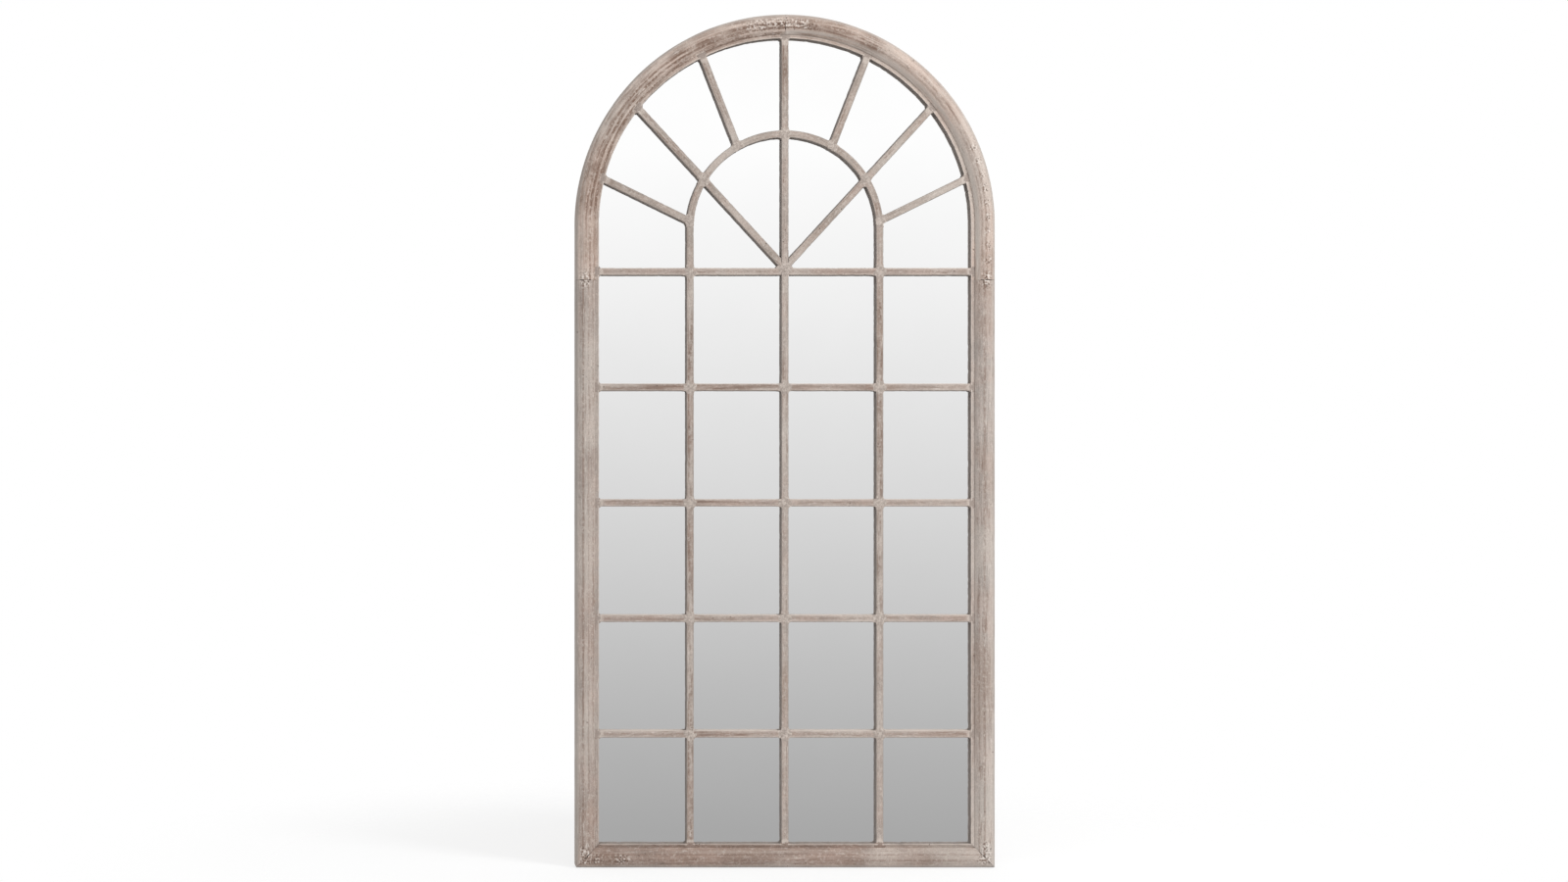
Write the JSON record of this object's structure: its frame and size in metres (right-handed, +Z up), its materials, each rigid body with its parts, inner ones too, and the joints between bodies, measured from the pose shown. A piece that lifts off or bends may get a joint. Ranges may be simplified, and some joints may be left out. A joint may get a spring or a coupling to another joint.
{
  "type": "arched window mirror",
  "caption": "Tall arched mirror in a moulded washed-wood frame, with glazing bars, an inner arch and spokes over one mirror sheet, a backboard and ring hangers.",
  "frame": {"origin": "on the surface that the bottom rail rests on, under the middle of the whole part", "axes": "+X to the right of someone who looks into the mirror, +Y out of its back, towards the wall, +Z up"},
  "size_m": [0.9, 0.043, 1.83],
  "materials": {
    "washed_wood": "whitewashed and sanded, worn at the edges, with plaster-like filler over the joints",
    "mirror": "silvered glass",
    "board": "brown hardboard",
    "zinc": "zinc plated",
    "felt": "grey-brown felt"
  },
  "bodies": {
    "frame": {"backboard": "board", "board_screw_bottom_1": "zinc", "board_screw_bottom_2": "zinc", "board_screw_bottom_3": "zinc", "board_screw_left_1": "zinc", "board_screw_left_2": "zinc", "board_screw_left_3": "zinc", "board_screw_left_4": "zinc", "board_screw_right_1": "zinc", "board_screw_right_2": "zinc", "board_screw_right_3": "zinc", "board_screw_right_4": "zinc", "board_screw_top_1": "zinc", "board_screw_top_2": "zinc", "board_screw_top_3": "zinc", "board_screw_top_4": "zinc", "bottom_rail": "washed_wood", "bumper_pad_left": "felt", "bumper_pad_right": "felt", "cross_bar_1": "washed_wood", "cross_bar_2": "washed_wood", "cross_bar_3": "washed_wood", "cross_bar_4": "washed_wood", "cross_bar_5": "washed_wood", "hanger_screw_left_1": "zinc", "hanger_screw_left_2": "zinc", "hanger_screw_right_1": "zinc", "hanger_screw_right_2": "zinc", "hanger_strap_left": "zinc", "hanger_strap_right": "zinc", "inner_arch": "washed_wood", "inner_spoke_1": "washed_wood", "inner_spoke_2": "washed_wood", "left_arch": "washed_wood", "left_stile": "washed_wood", "mirror_sheet": "mirror", "outer_spoke_1": "washed_wood", "outer_spoke_2": "washed_wood", "outer_spoke_3": "washed_wood", "outer_spoke_4": "washed_wood", "outer_spoke_5": "washed_wood", "outer_spoke_6": "washed_wood", "outer_spoke_7": "washed_wood", "right_arch": "washed_wood", "right_stile": "washed_wood", "tongue_crown": "washed_wood", "tongue_left_mitre": "washed_wood", "tongue_left_side": "washed_wood", "tongue_right_mitre": "washed_wood", "tongue_right_side": "washed_wood", "upright_bar_1": "washed_wood", "upright_bar_2": "washed_wood", "upright_bar_3": "washed_wood"},
    "ring_left": {"hanger_ring_left": "zinc"},
    "ring_right": {"hanger_ring_right": "zinc"}
  },
  "joints": [
    {"name": "ring_left_swing", "type": "hinge", "parent": "frame", "child": "ring_left", "pos_m": [-0.435, 0.0178, 1.18], "axis": [1, 0, 0], "range_deg": [0, 180]},
    {"name": "ring_right_swing", "type": "hinge", "parent": "frame", "child": "ring_right", "pos_m": [0.435, 0.0178, 1.18], "axis": [1, 0, 0], "range_deg": [0, 180]}
  ]
}
